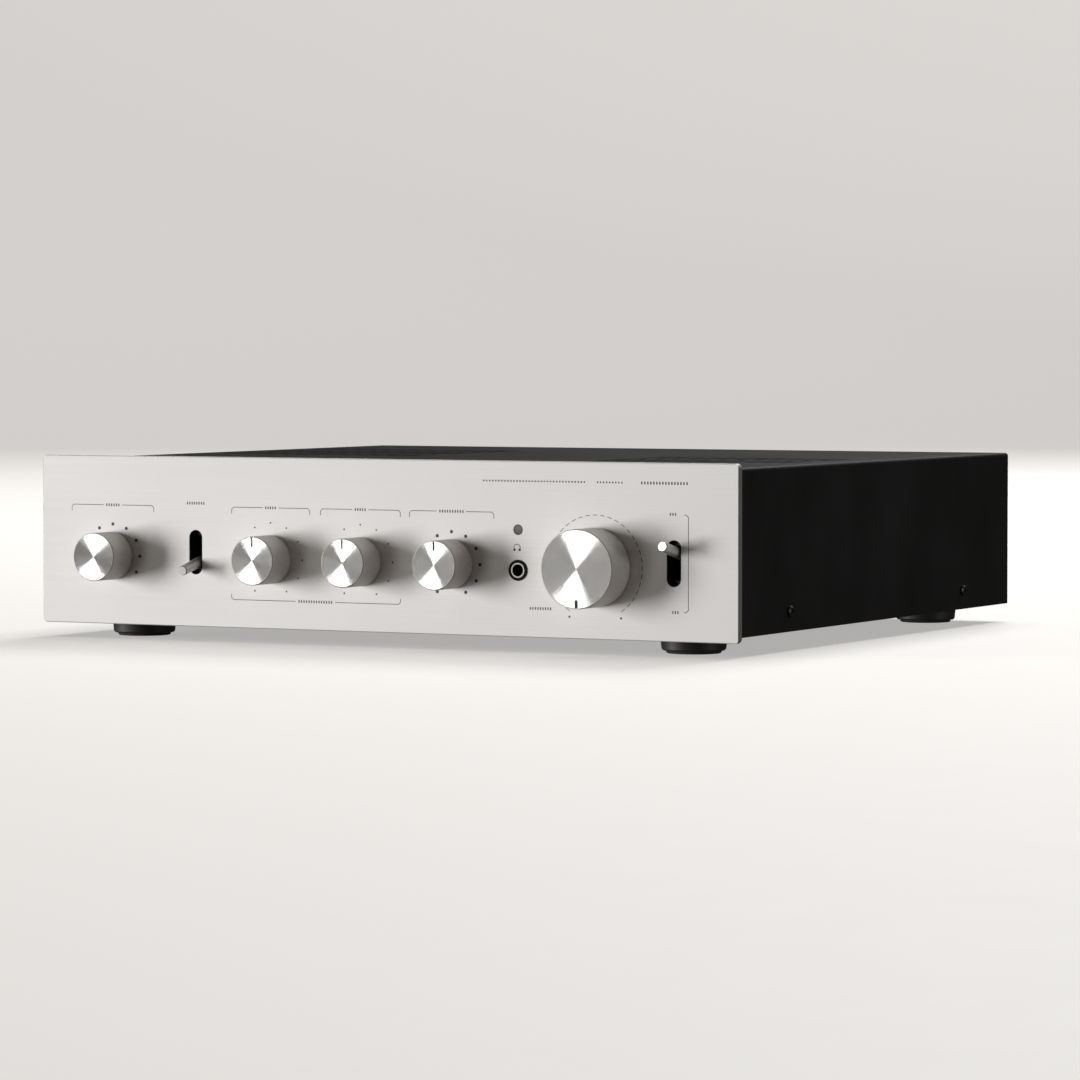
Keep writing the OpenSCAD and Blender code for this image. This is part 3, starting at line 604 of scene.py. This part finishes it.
def front_marks(black):
    """Everything printed on the front plate but the headphone sign."""
    prints = Plane(FACE_Y, -1, INK_THICK)
    heading_marks(prints)
    knob_marks(prints)
    volume_marks(prints)
    lever_marks(prints)
    mesh_piece("front_marks", prints.bm, black, "case")


def headphone_sign(black):
    """Headband and two ear cups above the socket."""
    prints = Plane(FACE_Y, -1, INK_THICK)
    x, z = at(300, 47.5)
    r = 1.9 * MM
    prints.arc(x, z, r, -50, 230, 0.35 * MM, step=10)
    for angle in (-35, 215):
        a = math.radians(angle)
        prints.disc(x + r * math.cos(a), z + r * math.sin(a), 0.7 * MM)
    mesh_piece("headphone_sign", prints.bm, black, "case")


def rear_marks(white):
    """Plain frames round the two groups of terminals, with a sign for each pair of sockets."""
    prints = Plane(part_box("rear_panel")[1].y, 1, INK_THICK)
    margin = 4 * MM
    for node in ("socket_collars", "post_collars"):
        low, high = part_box(node)
        left, right = low.x - margin, high.x + margin
        bracket(prints, left, right, high.z + margin, margin, 24 * MM)
        bracket(prints, left, right, low.z - margin, -margin, 0)
        middle = (left + right) / 2
        dashes(prints, middle - 10 * MM, middle + 10 * MM, high.z + margin, SIGN_TALL, SIGN_PITCH)
    low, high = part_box("socket_collars")
    pairs, collar_r = 6, 6 * MM
    for i in range(pairs):
        x = low.x + collar_r + (high.x - low.x - 2 * collar_r) * i / (pairs - 1)
        dashes(prints, x - 4 * MM, x + 4 * MM, (low.z + high.z) / 2, SIGN_TALL, SIGN_PITCH)
    mesh_piece("rear_marks", prints.bm, white, "case")


# ---------------------------------------------------------------- trim

# Air between a fitted piece and the sides of the hole or groove that it sits in
GAP = 0.02 * MM


def knob_markers(black):
    """Black paint in the groove of each knob's face; up is -1 where the groove points down."""
    groove_deep, paint_thick, rim_bevel = 0.3 * MM, 0.22 * MM, 0.55 * MM
    small, large = (1.0, 5.7, 1), (1.8, 4.8, -1)
    for name, (wide, length, up) in (("bass", small), ("treble", small), ("mode", small), ("volume", large)):
        low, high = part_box(name + "_knob")
        middle = (low + high) / 2
        r = (high.x - low.x) / 2
        fill = Plane(low.y + groove_deep, -1, paint_thick)
        left, right = middle.x - wide / 2 * MM + GAP, middle.x + wide / 2 * MM - GAP
        outer = middle.z + up * (r - rim_bevel)
        inner = middle.z + up * (r - length * MM + GAP)
        fill.polygon([(left, outer), (right, outer), (right, inner), (left, inner)])
        mesh_piece(name + "_marker", fill.bm, black, name + "_dial")


def slot_outline(x, z, wide, tall, sides=24):
    """Points round an upright slot with round ends."""
    r = wide / 2
    points = []
    for first, end_z in ((0, z + tall / 2 - r), (math.pi, z - tall / 2 + r)):
        for i in range(sides + 1):
            a = first + math.pi * i / sides
            points.append((x + r * math.cos(a), end_z + r * math.sin(a)))
    return points


def slot_liners(black):
    """Black sleeves that line the lever slots through the front plate."""
    slot_wide, slot_tall, wall = 8.4 * MM, 24.6 * MM, 0.23 * MM
    wide, tall = slot_wide - 2 * GAP, slot_tall - 2 * GAP
    front_y, back_y = FACE_Y + 0.08 * MM, FACE_Y + 3.95 * MM
    slot_z = centre("tone_switch").z
    for lever in ("tone", "power"):
        x = centre(lever + "_switch").x
        outer = slot_outline(x, slot_z, wide, tall)
        inner = slot_outline(x, slot_z, wide - 2 * wall, tall - 2 * wall)
        bm = bmesh.new()
        rings = []
        for y in (front_y, back_y):
            rings.append([bm.verts.new((px, y, pz)) for px, pz in outer])
            rings.append([bm.verts.new((px, y, pz)) for px, pz in inner])
        front_out, front_in, back_out, back_in = rings
        count = len(outer)
        for i in range(count):
            j = (i + 1) % count
            for a, b in ((front_out, front_in), (front_in, back_in), (back_in, back_out),
                         (back_out, front_out)):
                bm.faces.new((a[i], a[j], b[j], b[i]))
        mesh_piece(lever + "_slot_liner", bm, black, "case")


# ---------------------------------------------------------------- stage


def area_light(name, place, target, size, power):
    """White rectangular softbox that faces its target; its size is in metres."""
    data = bpy.data.lights.new(name, "AREA")
    data.shape = "RECTANGLE"
    data.size, data.size_y = size
    data.energy = power
    obj = bpy.data.objects.new(name, data)
    obj.location = place
    obj.rotation_euler = (target - place).to_track_quat("-Z", "Y").to_euler()
    bpy.context.scene.collection.objects.link(obj)


def direction(azimuth, height, distance):
    """Point at an angle round from the front (left is negative) and above the horizon."""
    a, e = math.radians(azimuth), math.radians(height)
    flat = math.cos(e) * distance
    return Vector((math.sin(a) * flat, -math.cos(a) * flat, math.sin(e) * distance))


def lights():
    """One tall softbox far to the left, with weak ones in front, to the right, behind and above."""
    aim = Vector((0, FACE_Y, (PLATE_LOW.z + PLATE_HIGH.z) / 2))
    area_light("key", aim + direction(-57, 1, 12), aim, (4.0, 5.5), 1060)
    area_light("front_fill", aim + direction(-25, -6, 6), aim, (2.0, 2.0), 24)
    area_light("right_fill", aim + direction(88, 4, 5), aim, (0.8, 1.5), 30)
    area_light("rear_fill", aim + direction(180, 40, 4), aim, (2.0, 1.5), 80)
    area_light("overhead", Vector((0, 1.3, 3.4)), Vector((0, 0.9, 0)), (3.0, 2.2), 45)
    world = bpy.data.worlds.new("studio")
    world.use_nodes = True
    glow = world.node_tree.nodes["Background"].inputs
    glow["Color"].default_value = (1.0, 0.87, 0.74, 1.0)
    glow["Strength"].default_value = 0.058
    bpy.context.scene.world = world


def stage_floor():
    """Round pale floor that sweeps up into a pale wall on every side."""
    bm = bmesh.new()
    floor_r, sweep_r, wall_height, sides, sweep_steps = 4.5, 1.5, 4.0, 96, 12
    profile = [(floor_r, 0.0)]
    for i in range(1, sweep_steps + 1):
        a = math.pi / 2 * i / sweep_steps
        profile.append((floor_r + sweep_r * math.sin(a), sweep_r - sweep_r * math.cos(a)))
    profile.append((floor_r + sweep_r, wall_height))
    loops = []
    for a in turns(sides):
        loops.append([bm.verts.new((r * math.cos(a), r * math.sin(a), z)) for r, z in profile])
    for i in range(sides):
        here, there = loops[i], loops[(i + 1) % sides]
        for j in range(len(here) - 1):
            bm.faces.new((here[j], there[j], there[j + 1], here[j + 1]))
    bm.faces.new([loop[0] for loop in loops])
    bmesh.ops.recalc_face_normals(bm, faces=bm.faces)
    mesh = bpy.data.meshes.new("floor")
    bm.to_mesh(mesh)
    bm.free()
    for face in mesh.polygons:
        face.use_smooth = True
    floor = bpy.data.objects.new("floor", mesh)
    bpy.context.scene.collection.objects.link(floor)
    s = Shader("floor", (0.74, 0.72, 0.69), 0.7)
    s.set("Roughness", s.span(s.noise(s.where, scale=30), 0.65, 0.75))
    s.set("Emission Color", (1.0, 0.985, 0.965, 1.0))
    s.set("Emission Strength", 0.42)
    mesh.materials.append(s.mat)
    floor.visible_shadow = False
    floor.visible_diffuse = False
    floor.visible_glossy = False
    floor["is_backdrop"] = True


def camera():
    """Eye-level view from the right of the front, far off and through a long lens."""
    data = bpy.data.cameras.new("camera")
    data.sensor_width = 36
    data.lens = 160
    obj = bpy.data.objects.new("camera", data)
    obj.location = (1.2709, -2.446, 0.1678)
    low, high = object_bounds()
    look = (low + high) / 2 - obj.location
    obj.rotation_euler = look.to_track_quat("-Z", "Y").to_euler()
    bpy.context.scene.collection.objects.link(obj)
    bpy.context.scene.camera = obj


# ---------------------------------------------------------------- build

paint_nodes()
front_ink = ink("front_ink", (0.05, 0.05, 0.052))
front_marks(front_ink)
headphone_sign(front_ink)
rear_marks(ink("rear_ink", (0.55, 0.55, 0.53)))
knob_markers(ink("marker_paint", (0.01, 0.01, 0.01)))
slot_liners(moulded("liner_plastic", (0.008, 0.008, 0.009), 0.5))
stage_floor()
lights()
camera()
bpy.context.scene.view_settings.view_transform = "Standard"
